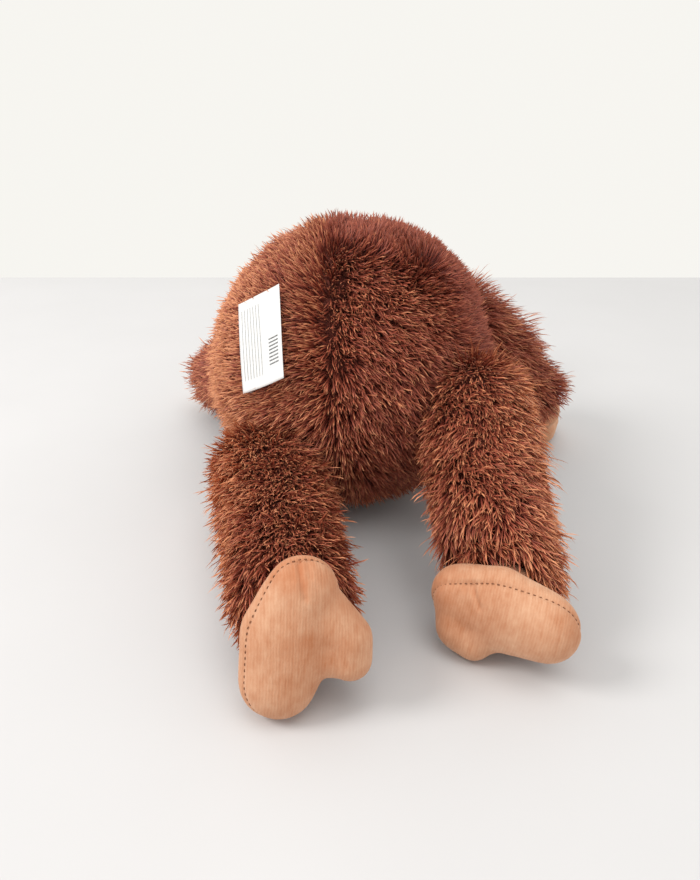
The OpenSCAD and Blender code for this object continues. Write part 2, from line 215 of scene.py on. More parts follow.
def velour_material(name, across):
    """Short-pile knit: broken ribs counted along across, a mottled nap, a soft bright rim."""
    mat, nodes, links, bsdf = new_material(name)
    tc = nodes.new("ShaderNodeTexCoord")
    obj = tc.outputs["Object"]
    broad = noise(nodes, links, obj, 30, 2.0)
    fine = noise(nodes, links, obj, 1100, 2.0)
    nap = noise(nodes, links, obj, 170, 4.0, 0.65)
    turned = nodes.new("ShaderNodeVectorRotate")
    turned.rotation_type = "AXIS_ANGLE"
    axis = Vector((1, 0, 0)).cross(Vector(across))
    turned.inputs["Axis"].default_value = axis.normalized() if axis.length > 1e-6 else (0, 0, 1)
    turned.inputs["Angle"].default_value = -Vector((1, 0, 0)).angle(Vector(across))
    links.new(obj, turned.inputs["Vector"])
    drawn = nodes.new("ShaderNodeVectorMath")
    drawn.operation = "MULTIPLY"
    drawn.inputs[1].default_value = (1.0, 0.20, 0.20)
    links.new(turned.outputs[0], drawn.inputs[0])
    ribs = noise(nodes, links, drawn.outputs[0], 700, 2.5, 0.6)
    wave = nodes.new("ShaderNodeTexWave")
    wave.bands_direction = "X"
    wave.inputs["Scale"].default_value = 270
    wave.inputs["Distortion"].default_value = 2.4
    wave.inputs["Detail"].default_value = 2.0
    wave.inputs["Detail Scale"].default_value = 1.5
    links.new(turned.outputs[0], wave.inputs["Vector"])
    tone = math_node(nodes, links, "MULTIPLY", wave.outputs["Fac"], 0.05)
    for part, share in ((broad, 0.44), (nap, 0.36), (ribs, 0.32)):
        scaled = math_node(nodes, links, "MULTIPLY", part.outputs["Fac"], share)
        tone = math_node(nodes, links, "ADD", tone, scaled)
    col = ramp(nodes, [(0.40, VELOUR_DEEP), (0.59, VELOUR_BASE), (0.78, VELOUR_LIGHT)])
    links.new(tone, col.inputs[0])
    att = nodes.new("ShaderNodeAttribute")
    att.attribute_name = "tone"
    warm = mix_colour(nodes, links, "MIX", att.outputs["Fac"], col.outputs[0], VELOUR_WARM)
    links.new(warm, bsdf.inputs["Base Color"])
    bsdf.inputs["Roughness"].default_value = 0.85
    bsdf.inputs["Specular IOR Level"].default_value = 0.2
    bsdf.inputs["Sheen Weight"].default_value = 0.30
    bsdf.inputs["Sheen Roughness"].default_value = 0.45
    bsdf.inputs["Sheen Tint"].default_value = (1.0, 0.78, 0.60, 1)
    height = math_node(nodes, links, "MULTIPLY", wave.outputs["Fac"], 0.45)
    height = math_node(nodes, links, "ADD", height, fine.outputs["Fac"])
    height = math_node(nodes, links, "ADD", height, ribs.outputs["Fac"])
    bump = nodes.new("ShaderNodeBump")
    bump.inputs["Strength"].default_value = 0.32
    bump.inputs["Distance"].default_value = 0.0004
    links.new(height, bump.inputs["Height"])
    links.new(bump.outputs[0], bsdf.inputs["Normal"])
    return mat


def plastic_material(name, colour, roughness, coat):
    mat, nodes, links, bsdf = new_material(name)
    tc = nodes.new("ShaderNodeTexCoord")
    n = noise(nodes, links, tc.outputs["Object"], 220, 4.0)
    tint = ramp(nodes, [(0.35, colour), (0.75, tuple(min(1, c * 1.5 + 0.004) for c in colour))])
    links.new(n.outputs["Fac"], tint.inputs[0])
    links.new(tint.outputs[0], bsdf.inputs["Base Color"])
    bsdf.inputs["Roughness"].default_value = roughness
    bsdf.inputs["Coat Weight"].default_value = coat
    bsdf.inputs["Coat Roughness"].default_value = 0.03
    return mat


def thread_material(name, colour):
    mat, nodes, links, bsdf = new_material(name)
    tc = nodes.new("ShaderNodeTexCoord")
    wave = nodes.new("ShaderNodeTexWave")
    wave.bands_direction = "DIAGONAL"
    wave.inputs["Scale"].default_value = 700
    links.new(tc.outputs["Object"], wave.inputs["Vector"])
    col = ramp(nodes, [(0.2, tuple(c * 0.6 for c in colour)), (0.8, colour)])
    links.new(wave.outputs["Fac"], col.inputs[0])
    links.new(col.outputs[0], bsdf.inputs["Base Color"])
    bsdf.inputs["Roughness"].default_value = 0.7
    bump = nodes.new("ShaderNodeBump")
    bump.inputs["Strength"].default_value = 0.5
    bump.inputs["Distance"].default_value = 0.0003
    links.new(wave.outputs["Fac"], bump.inputs["Height"])
    links.new(bump.outputs[0], bsdf.inputs["Normal"])
    return mat


PILE = pile_material()
BACKING = backing_material()
EYE = plastic_material("eye_plastic", (0.022, 0.010, 0.006), 0.08, 0.8)
NOSE = plastic_material("nose_plastic", (0.012, 0.010, 0.009), 0.22, 0.4)
THREAD = thread_material("dark_thread", (0.10, 0.035, 0.018))
SEAM_THREAD = thread_material("seam_thread", (0.27, 0.105, 0.045))


# ---------------------------------------------------------------- meshes

def mesh_object(name, verts, faces, material, smooth=True):
    mesh = bpy.data.meshes.new(name)
    mesh.from_pydata([tuple(v) for v in verts], [], [tuple(int(i) for i in f) for f in faces])
    mesh.validate()
    if smooth:
        mesh.shade_smooth()
    obj = bpy.data.objects.new(name, mesh)
    bpy.context.scene.collection.objects.link(obj)
    if material:
        mesh.materials.append(material)
    return obj


def arrays(mesh):
    verts = np.empty(len(mesh.vertices) * 3)
    mesh.vertices.foreach_get("co", verts)
    mesh.calc_loop_triangles()
    tris = np.empty(len(mesh.loop_triangles) * 3, np.int64)
    mesh.loop_triangles.foreach_get("vertices", tris)
    return verts.reshape(-1, 3), tris.reshape(-1, 3)


def vertex_normals(verts, tris):
    fn = np.cross(verts[tris[:, 1]] - verts[tris[:, 0]], verts[tris[:, 2]] - verts[tris[:, 0]])
    vn = np.zeros_like(verts)
    for k in range(3):
        np.add.at(vn, tris[:, k], fn)
    return unit(vn)


def outer_skin(nodes, voxel, rounds):
    """One closed skin round the named CAD nodes: even quads, largest island only, then relaxed."""
    bm = bmesh.new()
    for n in nodes:
        bm.from_mesh(NODES[n].data)
    mesh = bpy.data.meshes.new("skin")
    bm.to_mesh(mesh)
    bm.free()
    obj = bpy.data.objects.new("skin", mesh)
    bpy.context.scene.collection.objects.link(obj)
    mod = obj.modifiers.new("remesh", "REMESH")
    mod.mode = "VOXEL"
    mod.voxel_size = voxel
    mod.adaptivity = 0
    mod = obj.modifiers.new("relax", "SMOOTH")
    mod.factor = 0.5
    mod.iterations = rounds
    done = bpy.data.meshes.new_from_object(obj.evaluated_get(bpy.context.evaluated_depsgraph_get()))
    bpy.data.objects.remove(obj)
    bm = bmesh.new()
    bm.from_mesh(done)
    bm.verts.ensure_lookup_table()
    seen, best = set(), []
    for start in bm.verts:
        if start in seen:
            continue
        island, todo = [], [start]
        seen.add(start)
        while todo:
            v = todo.pop()
            island.append(v)
            for e in v.link_edges:
                w = e.other_vert(v)
                if w not in seen:
                    seen.add(w)
                    todo.append(w)
        if len(island) > len(best):
            best = island
    keep = set(best)
    bmesh.ops.delete(bm, geom=[v for v in bm.verts if v not in keep], context="VERTS")
    bm.to_mesh(done)
    bm.free()
    return done


def split(mesh, name, chooser, material):
    """A new object from the faces of mesh whose middles chooser() takes."""
    mids = np.array([f.center for f in mesh.polygons])
    take = chooser(mids)
    faces = [tuple(mesh.polygons[i].vertices) for i in np.nonzero(take)[0]]
    used = sorted({v for f in faces for v in f})
    where = {v: i for i, v in enumerate(used)}
    verts = [mesh.vertices[v].co[:] for v in used]
    return mesh_object(name, verts, [[where[v] for v in f] for f in faces], material)


def rounded(obj):
    """One level of subdivision."""
    mod = obj.modifiers.new("smooth", "SUBSURF")
    mod.levels = mod.render_levels = 1


def dress(obj, body, nodes=()):
    """Rides on a body, and stands for CAD nodes where it hides them."""
    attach(obj, body)
    if nodes:
        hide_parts(*nodes)
    return obj


# ---------------------------------------------------------------- the pile

ROOT_DEPTH = 1.2 * MM
MAX_FACES = 190000

# Strands a square millimetre, their length in metres and their rise from the skin in radians.
BACK_PILE = (0.86, 0.0125, 0.98)
LEG_PILE = (0.88, 0.0140, 0.80)
ARM_PILE = (0.72, 0.0135, 0.98)
HEAD_PILE = (0.5, 0.0125, 0.95)
EAR_PILE = (0.6, 0.0085, 0.7)


def strands(name, body, roots, normals, comb, length, width, rise, shade, seed, press=None):
    """Tapered, folded blades: each leaves the skin at an angle and bends over towards comb."""
    rng = np.random.default_rng(seed)
    n = len(roots)
    side = np.cross(normals, comb)
    start = rise + rng.normal(0, 0.16, n)
    end = start - rng.uniform(0.15, 0.70, n)
    steps = 6
    p = roots - normals * ROOT_DEPTH
    curl = rng.normal(0, 0.38, n)
    droop = rng.uniform(0.0, 0.25, n)
    path = [p]
    for k in range(steps):
        t = (k + 0.5) / steps
        phi = (start + (end - start) * t)[:, None]
        d = np.cos(phi) * comb + np.sin(phi) * normals + side * (curl * (t - 0.3))[:, None]
        d[:, 2] -= droop * t
        p = p + unit(d) * (length / steps)[:, None]
        path.append(p)
    path = np.array(path)
    if press is not None:
        path = press(path)
    path[:, :, 2] = np.maximum(path[:, :, 2], 0.0004 + 0.0008 * rng.random(n)[None, :])
    at = [0, 2, 5, 6]
    roll = rng.normal(0, 0.7, n)[:, None]
    rings = []
    for k, (i, fat) in enumerate(zip(at[:3], (0.8, 1.0, 0.85))):
        fwd = unit(path[min(i + 1, steps)] - path[max(i - 1, 0)])
        lat = unit(np.cross(fwd, normals))
        up = np.cross(lat, fwd)
        lat, up = lat * np.cos(roll) + up * np.sin(roll), up * np.cos(roll) - lat * np.sin(roll)
        w = (width * fat / 2)[:, None]
        rings.append(np.stack([path[i] - lat * w, path[i] + up * w * 0.7, path[i] + lat * w], axis=1))
    verts = np.concatenate([*rings, path[6][:, None, :]], axis=1)
    quads = np.array([[0, 1, 4, 3], [1, 2, 5, 4], [3, 4, 7, 6], [4, 5, 8, 7]])
    tips = np.array([[6, 7, 9], [7, 8, 9]])
    vv = np.array([0.0, 0.0, 0.0, 0.36, 0.36, 0.36, 0.82, 0.82, 0.82, 1.0])
    made = []
    per = MAX_FACES // 10
    parts = max(1, math.ceil(n / per))
    for k in range(parts):
        sel = slice(k * n // parts, (k + 1) * n // parts)
        v = verts[sel]
        m = len(v)
        base = (np.arange(m) * 10)[:, None, None]
        q = (quads[None] + base).reshape(-1, 4)
        t = (tips[None] + base).reshape(-1, 3)
        loops = np.concatenate([q.reshape(m, -1), t.reshape(m, -1)], axis=1).ravel()
        sizes = np.tile([4, 4, 4, 4, 3, 3], m)
        starts = np.concatenate([[0], np.cumsum(sizes)[:-1]])
        mesh = bpy.data.meshes.new(name)
        mesh.vertices.add(m * 10)
        mesh.vertices.foreach_set("co", v.reshape(-1))
        mesh.loops.add(len(loops))
        mesh.loops.foreach_set("vertex_index", loops.astype(np.int32))
        mesh.polygons.add(len(sizes))
        mesh.polygons.foreach_set("loop_start", starts.astype(np.int32))
        mesh.update(calc_edges=True)
        uv = mesh.uv_layers.new(name="OFBake")
        pairs = np.stack([np.repeat(shade[sel], 22), vv[loops % 10]], axis=1)
        uv.data.foreach_set("uv", np.clip(pairs, 0.02, 0.98).ravel())
        mesh.shade_smooth()
        mesh.materials.append(PILE)
        label = name if parts == 1 else f"{name}_{k + 1}"
        obj = bpy.data.objects.new(label, mesh)
        bpy.context.scene.collection.objects.link(obj)
        dress(obj, body)
        made.append(obj)
    return made


def scatter(mesh, density, seed):
    """Even random points on a mesh, density a square millimetre, with smooth normals."""
    rng = np.random.default_rng(seed)
    verts, tris = arrays(mesh)
    vn = vertex_normals(verts, tris)
    a, b, c = (verts[tris[:, k]] for k in range(3))
    area = np.linalg.norm(np.cross(b - a, c - a), axis=1) / 2 * 1e6
    want = area * density * 1.0
    count = np.floor(want + rng.random(len(want))).astype(int)
    i = np.repeat(np.arange(len(tris)), count)
    u, v = rng.random(len(i)), rng.random(len(i))
    flip = u + v > 1
    u[flip], v[flip] = 1 - u[flip], 1 - v[flip]
    w = 1 - u - v
    p = a[i] * w[:, None] + b[i] * u[:, None] + c[i] * v[:, None]
    nn = unit(vn[tris[i, 0]] * w[:, None] + vn[tris[i, 1]] * u[:, None] + vn[tris[i, 2]] * v[:, None])
    return p, nn


def clearance(p, normals, trees):
    """How far each point is from the nearest other body, at most 20 mm."""
    out = np.full(len(p), 0.02)
    for tree in trees:
        for i in range(len(p)):
            hit = tree.find_nearest(p[i], float(out[i]))
            if hit[0] is not None:
                out[i] = min(out[i], hit[3])
    return out


def clumped(p, comb, normals, size, pull, seed):
    """Turns the comb direction of each strand a little towards its clump's middle."""
    rng = np.random.default_rng(seed)
    jitter = p + rng.normal(0, size * 0.25, p.shape)
    cell = np.floor(jitter / size).astype(np.int64)
    key = cell[:, 0] * 73856093 ^ cell[:, 1] * 19349663 ^ cell[:, 2] * 83492791
    _, inv = np.unique(key, return_inverse=True)
    count = np.bincount(inv)[:, None]
    mid = np.stack([np.bincount(inv, p[:, k]) for k in range(3)], axis=1) / count
    lead = mid[inv] + comb * size * 1.5
    to = tangent(lead - p, normals)
    return tangent(comb * (1 - pull) + to * pull, normals), rng.random(len(count))[inv]


# ---------------------------------------------------------------- skins of every body

TORSO = ["back_panel_left", "back_panel_right", "belly_panel", "torso_filling"]
HEAD = ["head_panel_left", "head_panel_right", "face_panel", "head_filling", "muzzle_panel", "muzzle_filling"]
VOXEL = 2.0 * MM
skins = {"torso": outer_skin(TORSO, VOXEL, 8), "head": outer_skin(HEAD, 1.6 * MM, 5)}
for s in SIDES:
    skins[f"leg_{s}"] = outer_skin([f"leg_sleeve_{s}", f"leg_filling_{s}"], VOXEL, 3)
    skins[f"arm_{s}"] = outer_skin([f"arm_sleeve_{s}", f"arm_filling_{s}"], VOXEL, 3)
    skins[f"foot_{s}"] = outer_skin([f"foot_sole_{s}", f"foot_upper_{s}", f"foot_filling_{s}"], 1.0 * MM, 18)
    skins[f"hand_{s}"] = outer_skin([f"hand_palm_{s}", f"hand_back_{s}", f"hand_filling_{s}"], 1.3 * MM, 14)
    skins[f"ear_{s}"] = outer_skin([f"ear_back_{s}", f"ear_front_{s}"], 1.0 * MM, 6)


def tree_of(mesh):
    verts, tris = arrays(mesh)
    return BVHTree.FromPolygons([tuple(v) for v in verts], [tuple(int(i) for i in t) for t in tris])


TREES = {k: tree_of(m) for k, m in skins.items()}
NEAR = {
    "torso": ["head", "leg_left", "leg_right", "arm_left", "arm_right"],
    "head": ["torso", "arm_left", "arm_right"],
    "leg_left": ["torso", "foot_left"], "leg_right": ["torso", "foot_right"],
    "arm_left": ["torso", "hand_left"], "arm_right": ["torso", "hand_right"],
}

# The torso's own frame: its middle, its yaw and its roll.
TORSO_TURN = turn("Z", -4) @ turn("Y", 8)
TORSO_MID = pivot("neck_turn") - TORSO_TURN @ np.array([0, -99, -10]) * MM


def in_torso(p):
    return (p - TORSO_MID) @ TORSO_TURN / MM


def on_belly(p):
    q = in_torso(p)
    along = np.clip((-8 - q[:, 1]) / 56, 0, 1)
    reach = np.hypot(q[:, 0], q[:, 1] + 8 + 56 * along)
    return (reach < 42 - 12 * along) & (q[:, 2] < -20)


def torso_comb(p, normals):
    """Left of the back seam the pile lies outwards; right of it, down below the dart and away above it."""
    q = in_torso(p)
    x, y, z = q.T
    left = smoothstep(x - 4 * smoothstep(40 - z, 0, 60), -4, 4)[:, None]
    low = smoothstep(z, 15, -35)[:, None]
    high = smoothstep(z, 25, 62)[:, None]
    far = smoothstep(-y - 0.25 * x, -36, -20)[:, None]
    out = np.array([1.0, 0.0, 0.05]) * (1 - low) + np.array([0.75, 0.1, -0.65]) * low
    out = out * (1 - high) + np.array([0.75, -0.45, 0.5]) * high
    down = np.array([-0.60, 0.25, -0.75]) * (1 - high) + np.array([-0.42, 0.75, -0.45]) * high
    down = down * (1 - low) + np.array([-0.75, 0.0, -0.65]) * low
    away = np.array([-0.30, -0.85, 0.35])
    right = down * (1 - far) + away * far
    v = out * left + right * (1 - left)
    crown = q - np.array([-50, 22, 52])
    near = np.exp(-np.sum(crown ** 2, axis=1) / 22 ** 2)[:, None]
    v = unit(v) * (1 - near) + unit(crown) * near * 1.4
    front = smoothstep(-y, 45, 75)[:, None]
    v = v * (1 - front) + np.stack([np.sign(x) * 0.5, -0.4 + 0 * x, -0.5 + 0 * x], axis=1) * front
    return tangent(unit(v) @ TORSO_TURN.T, normals)


def torso_tone_and_painted_light(p, rng):
    q = in_torso(p)
    x, y, z = q.T
    # Painted light and shade: the left panel, and most of all its outer rim, are lighter where the lamp
    # lights them from the left (the rim's tips are partly lighter of their own). The right panel above the
    # dart is painted darker, as shade where its pile points away.
    left = smoothstep(x, -3, 3)
    rim = smoothstep(x, 25, 62)
    far = smoothstep(-y - 0.25 * x, -36, -20) * (1 - left)
    return 0.27 + 0.19 * left + 0.34 * rim - 0.24 * far


def seam_lift(p):
    """The pile stands up where the two back panels meet, so that the seam does not part."""
    x, y, z = in_torso(p).T
    dart = np.exp(-((-y - 0.25 * x + 28) / 6) ** 2) * (x < 0)
    edge = smoothstep(-x, 20, 50) * smoothstep(z, 20, 45)
    return 0.42 * np.exp(-(x / 7) ** 2) + 0.30 * dart + 0.25 * edge


def torso_length(p):
    """Longer pile high on the right side, shorter pile high on the left."""
    x, y, z = in_torso(p).T
    more = 0.42 * smoothstep(-x, 5, 50) * smoothstep(z, 15, 45)
    return 1 + more - 0.22 * smoothstep(x, 5, 50) * smoothstep(z, 0, 40)


LABEL_W, LABEL_H, LABEL_T = 34 * MM, 50 * MM, 0.3 * MM
LABEL_DOWN = unit(np.array([-0.08, 0.58, -0.81]))
LABEL_OUT = unit(np.cross(LABEL_DOWN, np.array([-0.76, 0.5, 0.42])))
LABEL_ACROSS = np.cross(LABEL_OUT, LABEL_DOWN)
LABEL_EDGE = pivot("label_flap")


def under_label(path):
    """Holds the pile down where the care label lies on it."""
    q = path - LABEL_EDGE
    a, b, h = q @ LABEL_ACROSS, q @ LABEL_DOWN, q @ LABEL_OUT
    inside = (a > -0.5 * MM) & (a < LABEL_W - 0.8 * MM) & (np.abs(b) < LABEL_H / 2 - 0.8 * MM) & (h < 30 * MM)
    rise = np.where(inside, np.minimum(h, -0.9 * MM), h) - h
    return path + LABEL_OUT * rise[..., None]


def limb_comb(joint_a, joint_b, lean):
    a, b = pivot(joint_a), pivot(joint_b)
    way = unit(b - a)

    def comb(p, normals):
        t = ((p - a) @ way / np.linalg.norm(b - a))[:, None]
        v = way + np.array(lean) * smoothstep(t, -0.1, 0.6)
        return tangent(np.broadcast_to(v, p.shape), normals)
    return comb


HEAD_TURN = turn("X", 12)
HEAD_FALL = math.radians(5)
HEAD_MID = pivot("neck_turn") + np.array([0, -math.cos(HEAD_FALL), -math.sin(HEAD_FALL)]) * 60 * MM


def in_head(p):
    return (p - HEAD_MID) @ HEAD_TURN / MM


def past_face_edge(q):
    """How far a point of the head lies outside the face's outline, in millimetres."""
    eyes = np.minimum(np.hypot(q[:, 0] - 17, q[:, 2] - 11), np.hypot(q[:, 0] + 17, q[:, 2] - 11)) - 22
    cheeks = np.hypot(q[:, 0], q[:, 2] + 15) - 33
    return np.minimum(eyes, cheeks)


def on_face(p):
    q = in_head(p)
    return (past_face_edge(q) < 0) & (q[:, 1] < 0)


MUZZLE_AT = np.array([0, -50, -17])


def head_comb(p, normals):
    q = in_head(p)
    v = unit(q - np.array([0, -62, 0])) + np.array([0, 0.5, -0.25])
    return tangent(v @ HEAD_TURN.T, normals)


def away_from_face(p):
    q = in_head(p)
    return np.where(q[:, 1] < 0, past_face_edge(q), 30)


def grow(name, mesh, body, comb, density, length, rise, seed, shade=None, keep=None, near=(), trim=None,
         lift=None, press=None, longest=1.0):
    """Grows the pile of one body's skin."""
    rng = np.random.default_rng(seed)
    p, nn = scatter(mesh, density, seed)
    if keep is not None:
        ok = keep(p)
        p, nn = p[ok], nn[ok]
    gap = clearance(p, nn, [TREES[k] for k in near])
    ok = gap > 0.0009
    p, nn, gap = p[ok], nn[ok], gap[ok]
    c = comb(p, nn)
    sway = waves(p, 0.030, seed + 1) * 0.38 + waves(p, 0.009, seed + 2) * 0.34 + rng.normal(0, 0.30, len(p))
    side = np.cross(nn, c)
    c = c * np.cos(sway)[:, None] + side * np.sin(sway)[:, None]
    c, lock = clumped(p, c, nn, 0.0036, 0.24, seed + 3)
    c = tangent(c, nn)
    stray = rng.random(len(p)) < 0.035
    full = length * rng.uniform(0.70, 1.18, len(p)) * (1 + 0.10 * waves(p, 0.02, seed + 4))
    full = full * (1 + 0.28 * stray)
    if trim is not None:
        full = np.minimum(full * trim(p), longest)
    room = np.clip(gap / 0.008, 0.30, 1.0)
    full = full * room
    lean = rise * (0.55 + 0.45 * room) + 0.16 * waves(p, 0.012, seed + 5) + (lock - 0.5) * 0.25 + 0.25 * stray
    if lift is not None:
        lean = lean + lift(p)
    low = smoothstep(p[:, 2], 0.016, 0.003) * smoothstep(-nn[:, 2], 0.1, 0.6)
    lean = lean * (1 - 0.8 * low)
    tone = 0.42 + np.zeros(len(p)) if shade is None else shade(p, rng)
    tone = tone + rng.normal(0, 0.16, len(p)) + (lock - 0.5) * 0.20
    tone = tone + 0.07 * waves(p, 0.025, seed + 6) + 0.2 * stray
    width = rng.uniform(0.00048, 0.00080, len(p)) * 1.0
    return strands(name, body, p, nn, c, full, width, lean, np.clip(tone, 0.02, 0.98), seed + 7, press)


# ---------------------------------------------------------------- torso

LONGEST_BACK_PILE = 14.8 * MM


def on_back_left(p):
    return (in_torso(p)[:, 0] >= 0) & ~on_belly(p)


def on_back_right(p):
    return (in_torso(p)[:, 0] < 0) & ~on_belly(p)


PEACH = velour_material("velour_body", (0, 1, 0))

dress(split(skins["torso"], "back_panel_left_skin", on_back_left, BACKING), "torso",
      ["back_panel_left", "torso_filling"])
dress(split(skins["torso"], "back_panel_right_skin", on_back_right, BACKING), "torso",
      ["back_panel_right"])
dress(split(skins["torso"], "belly_skin", on_belly, PEACH), "torso", ["belly_panel"])

grow("pile_back_left", skins["torso"], "torso", torso_comb, *BACK_PILE, 100, torso_tone_and_painted_light,
     keep=on_back_left, near=NEAR["torso"], lift=seam_lift, press=under_label,
     trim=torso_length, longest=LONGEST_BACK_PILE)
grow("pile_back_right", skins["torso"], "torso", torso_comb, *BACK_PILE, 200, torso_tone_and_painted_light,
     keep=on_back_right, near=NEAR["torso"], lift=seam_lift,
     trim=torso_length, longest=LONGEST_BACK_PILE)


# ---------------------------------------------------------------- limbs

def arm_length(s):
    """Longer pile at the cuff, and round the right shoulder."""
    a, b = pivot(f"shoulder_swing_{s}"), pivot(f"wrist_{s}")

    def trim(p):
        t = (p - a) @ (b - a) / np.sum((b - a) ** 2)
        hump = 0.75 * (1 - smoothstep(t, 0.25, 0.70)) if s == "right" else 0.0
        return 1.0 + hump + 0.15 * smoothstep(t, 0.6, 0.9)
    return trim


LEG_LEAN = {"left": (0.22, 0.0, -0.18), "right": (-0.42, 0.0, -0.30)}
ARM_LEAN = {"left": (0.25, 0.2, -0.1), "right": (-0.25, 0.25, -0.3)}


def leg_tone_and_painted_light(s):
    """Lighter tips on a leg's outer side: painted light where that side is lit."""
    def shade(p, rng):
        out = WAY[s] * (p[:, 0] - middle(f"leg_sleeve_{s}")[0])
        return 0.42 + 0.30 * smoothstep(out, -0.002, 0.024)
    return shade


def arm_shade(p, rng):
    return np.full(len(p), 0.34)


def everywhere(p):
    return np.ones(len(p), bool)


for i, s in enumerate(SIDES):
    leg, arm = f"leg_{s}", f"arm_{s}"
    skin = split(skins[leg], f"leg_{s}_skin", everywhere, BACKING)
    dress(skin, leg, [f"leg_sleeve_{s}", f"leg_filling_{s}"])
    skin = split(skins[arm], f"arm_{s}_skin", everywhere, BACKING)
    dress(skin, arm, [f"arm_sleeve_{s}", f"arm_filling_{s}"])
    leg_comb = limb_comb(f"hip_swing_{s}", f"ankle_{s}", LEG_LEAN[s])
    arm_comb = limb_comb(f"shoulder_swing_{s}", f"wrist_{s}", ARM_LEAN[s])
    grow(f"pile_leg_{s}", skins[leg], leg, leg_comb, *LEG_PILE, 300 + 20 * i,
         leg_tone_and_painted_light(s), near=NEAR[leg])
    grow(f"pile_arm_{s}", skins[arm], arm, arm_comb, *ARM_PILE, 400 + 20 * i,
         arm_shade, near=NEAR[arm], trim=arm_length(s))


# ---------------------------------------------------------------- feet and hands

def pull(mesh_obj, move, tone=None):
    """Moves each vertex by move(points, normals) and stores a tone from 0 to 1 for the material."""
    mesh = mesh_obj.data
    verts, tris = arrays(mesh)
    nn = vertex_normals(verts, tris)
    verts = verts + move(verts, nn)
    mesh.vertices.foreach_set("co", verts.ravel())
    if tone is not None:
        att = mesh.attributes.new("tone", "FLOAT", "POINT")
        att.data.foreach_set("value", np.clip(tone(verts), 0, 1))
    mesh.update()


def seam_stitches(name, body, mesh, at, normal, sink, tree):
    """Short thread stitches that follow the line where a plane cuts the skin."""
    bm = bmesh.new()
    bm.from_mesh(mesh)
    everything = bm.verts[:] + bm.edges[:] + bm.faces[:]
    cut = bmesh.ops.bisect_plane(bm, geom=everything, plane_co=at, plane_no=normal)
    edges = [e for e in cut["geom_cut"] if isinstance(e, bmesh.types.BMEdge)]
    links = {}
    for e in edges:
        for v, w in ((e.verts[0], e.verts[1]), (e.verts[1], e.verts[0])):
            links.setdefault(v, []).append(w)
    start = min(links, key=lambda v: v.co.x)
    loop, seen = [start], {start}
    while True:
        ahead = [w for w in links[loop[-1]] if w not in seen]
        if not ahead:
            break
        loop.append(ahead[0])
        seen.add(ahead[0])
    pts = np.array([v.co[:] for v in loop])
    bm.free()
    run = np.concatenate([[0], np.cumsum(np.linalg.norm(np.diff(pts, axis=0), axis=1))])
    count = int(run[-1] / (2.5 * MM))
    verts, faces = [], []
    for k in range(count):
        mid = (k + 0.5) / count * run[-1]
        a, b = (np.array([np.interp(mid + d * MM, run, pts[:, i]) for i in range(3)]) for d in (-0.6, 0.6))
        c = (a + b) / 2
        up = np.array(tree.find_nearest(Vector(c))[1])
        fwd = unit(b - a)
        lat = unit(np.cross(fwd, up))
        base = len(verts)
        for t, fat in ((-1.0, 0.35), (-0.6, 1.0), (0.6, 1.0), (1.0, 0.35)):
            for turn_at in range(6):
                ang = turn_at * math.pi / 3
                ring = (lat * math.cos(ang) * 0.24 + up * math.sin(ang) * 0.24) * fat * MM
                verts.append(c + fwd * t * 0.62 * MM + ring - up * (sink + 0.2 * t * t * MM))
        for r in range(3):
            for m in range(6):
                i, j = base + 6 * r + m, base + 6 * r + (m + 1) % 6
                faces.append((i, j, j + 6, i + 6))
        faces.append(tuple(base + m for m in range(5, -1, -1)))
        faces.append(tuple(base + 18 + m for m in range(6)))
    return dress(mesh_object(name, verts, faces, SEAM_THREAD), body)


FOOT_LEAN = {"left": 16, "right": 3}
FOOT_TURN = {"left": 0, "right": 78}
FOOT_YAW = {"left": 0, "right": -38}
SEAM_TILT = 13
SEAM_AT = 14
SEAM_SIN, SEAM_COS = math.sin(math.radians(SEAM_TILT)), math.cos(math.radians(SEAM_TILT))
SEAM_UP = {
    "left": np.array([-SEAM_SIN, SEAM_COS, 0.0]),
    "right": np.array([-SEAM_SIN, SEAM_COS, -0.25]) * 0.97,
}
DART = {
    "left": (np.array([-3.0, 28.5]), np.array([-6.0, 16.0])),
    "right": (np.array([14.5, 14.5]), np.array([5.7, 2.0])),
}
STRIPES = {"left": (0.97, 0.2, 0.1), "right": (0.96, -0.25, 0.12)}
HAND_SEAM = 9 * MM


